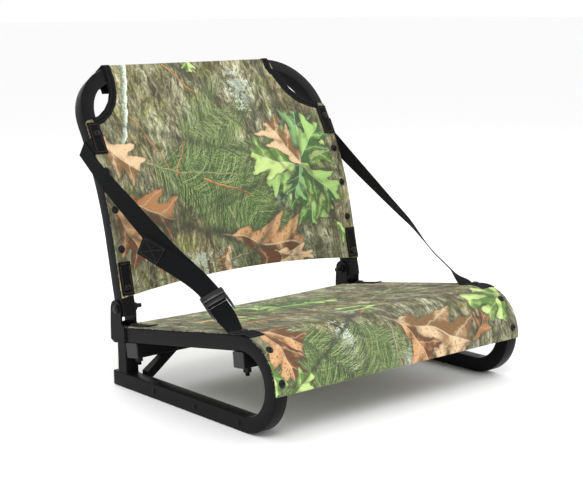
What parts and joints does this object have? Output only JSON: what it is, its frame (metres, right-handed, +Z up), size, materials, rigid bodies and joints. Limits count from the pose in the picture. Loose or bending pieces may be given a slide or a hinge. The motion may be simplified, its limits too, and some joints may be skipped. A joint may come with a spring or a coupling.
{
  "type": "folding ground seat",
  "caption": "Low folding ground seat on two bent square-tube side frames, with a reclining sling backrest held by two webbing straps.",
  "frame": {"origin": "on the ground, in the middle of the seat's footprint", "axes": "+Z up; the seat faces -Y; +X to the right of someone looking at its front"},
  "size_m": [0.5743, 0.5851, 0.5399],
  "materials": {
    "powder_black": "satin black powder coat with a fine orange-peel texture",
    "plug_plastic": "matt black moulded plastic",
    "buckle_plastic": "matt black moulded plastic",
    "black_fasteners": "black oxide steel",
    "black_webbing": "woven black webbing",
    "camo_cloth": "woven cloth printed with a leaf, bark and twig camouflage"
  },
  "bodies": {
    "root": {"front_crossbar": "powder_black", "front_crossbar_left_plug": "plug_plastic", "front_crossbar_right_plug": "plug_plastic", "left_front_corner_bolt": "black_fasteners", "left_front_corner_nut": "black_fasteners", "left_hinge_bolt": "black_fasteners", "left_hinge_bracket": "powder_black", "left_hinge_nut": "black_fasteners", "left_lower_seat_screw": "black_fasteners", "left_rail_end_cap": "plug_plastic", "left_rear_brace": "powder_black", "left_rear_corner_bolt": "black_fasteners", "left_rear_corner_nut": "black_fasteners", "left_rear_leg": "powder_black", "left_seat_patch": "black_webbing", "left_side_frame": "powder_black", "left_strap_anchor": "black_webbing", "left_upper_seat_screw": "black_fasteners", "rear_crossbar": "powder_black", "rear_crossbar_left_plug": "plug_plastic", "rear_crossbar_right_plug": "plug_plastic", "right_front_corner_bolt": "black_fasteners", "right_front_corner_nut": "black_fasteners", "right_hinge_bolt": "black_fasteners", "right_hinge_bracket": "powder_black", "right_hinge_nut": "black_fasteners", "right_lower_seat_screw": "black_fasteners", "right_rail_end_cap": "plug_plastic", "right_rear_brace": "powder_black", "right_rear_corner_bolt": "black_fasteners", "right_rear_corner_nut": "black_fasteners", "right_rear_leg": "powder_black", "right_seat_patch": "black_webbing", "right_side_frame": "powder_black", "right_strap_anchor": "black_webbing", "right_upper_seat_screw": "black_fasteners", "seat_sling": "camo_cloth"},
    "backrest": {"back_sling": "camo_cloth", "backrest_frame": "powder_black", "left_back_screw_1": "black_fasteners", "left_back_screw_2": "black_fasteners", "left_back_screw_3": "black_fasteners", "left_back_screw_4": "black_fasteners", "left_back_screw_5": "black_fasteners", "left_lower_back_patch": "black_webbing", "left_strap_loop": "black_webbing", "left_upper_back_patch": "black_webbing", "right_back_screw_1": "black_fasteners", "right_back_screw_2": "black_fasteners", "right_back_screw_3": "black_fasteners", "right_back_screw_4": "black_fasteners", "right_back_screw_5": "black_fasteners", "right_lower_back_patch": "black_webbing", "right_strap_loop": "black_webbing", "right_upper_back_patch": "black_webbing"},
    "left_strap": {"left_lower_strap": "black_webbing", "left_upper_strap": "black_webbing", "strap_buckle": "buckle_plastic"},
    "right_strap": {"right_strap": "black_webbing"}
  },
  "joints": [
    {"name": "backrest_fold", "type": "hinge", "parent": "root", "child": "backrest", "pos_m": [0, 0.1279, 0.1361], "axis": [1, 0, 0], "range_deg": [0, 88], "deforming": ["left_upper_strap", "right_strap"]},
    {"name": "left_strap_swing", "type": "hinge", "parent": "root", "child": "left_strap", "pos_m": [0, -0.17766, 0.15223], "axis": [1, 0, 0], "range_deg": [-26, 0]},
    {"name": "right_strap_swing", "type": "hinge", "parent": "root", "child": "right_strap", "pos_m": [0, -0.17766, 0.15223], "axis": [1, 0, 0], "range_deg": [-26, 0]}
  ],
  "couplings": [
    {"joint": "left_strap_swing", "follows": "backrest_fold", "ratio": -0.27},
    {"joint": "right_strap_swing", "follows": "backrest_fold", "ratio": -0.27}
  ]
}
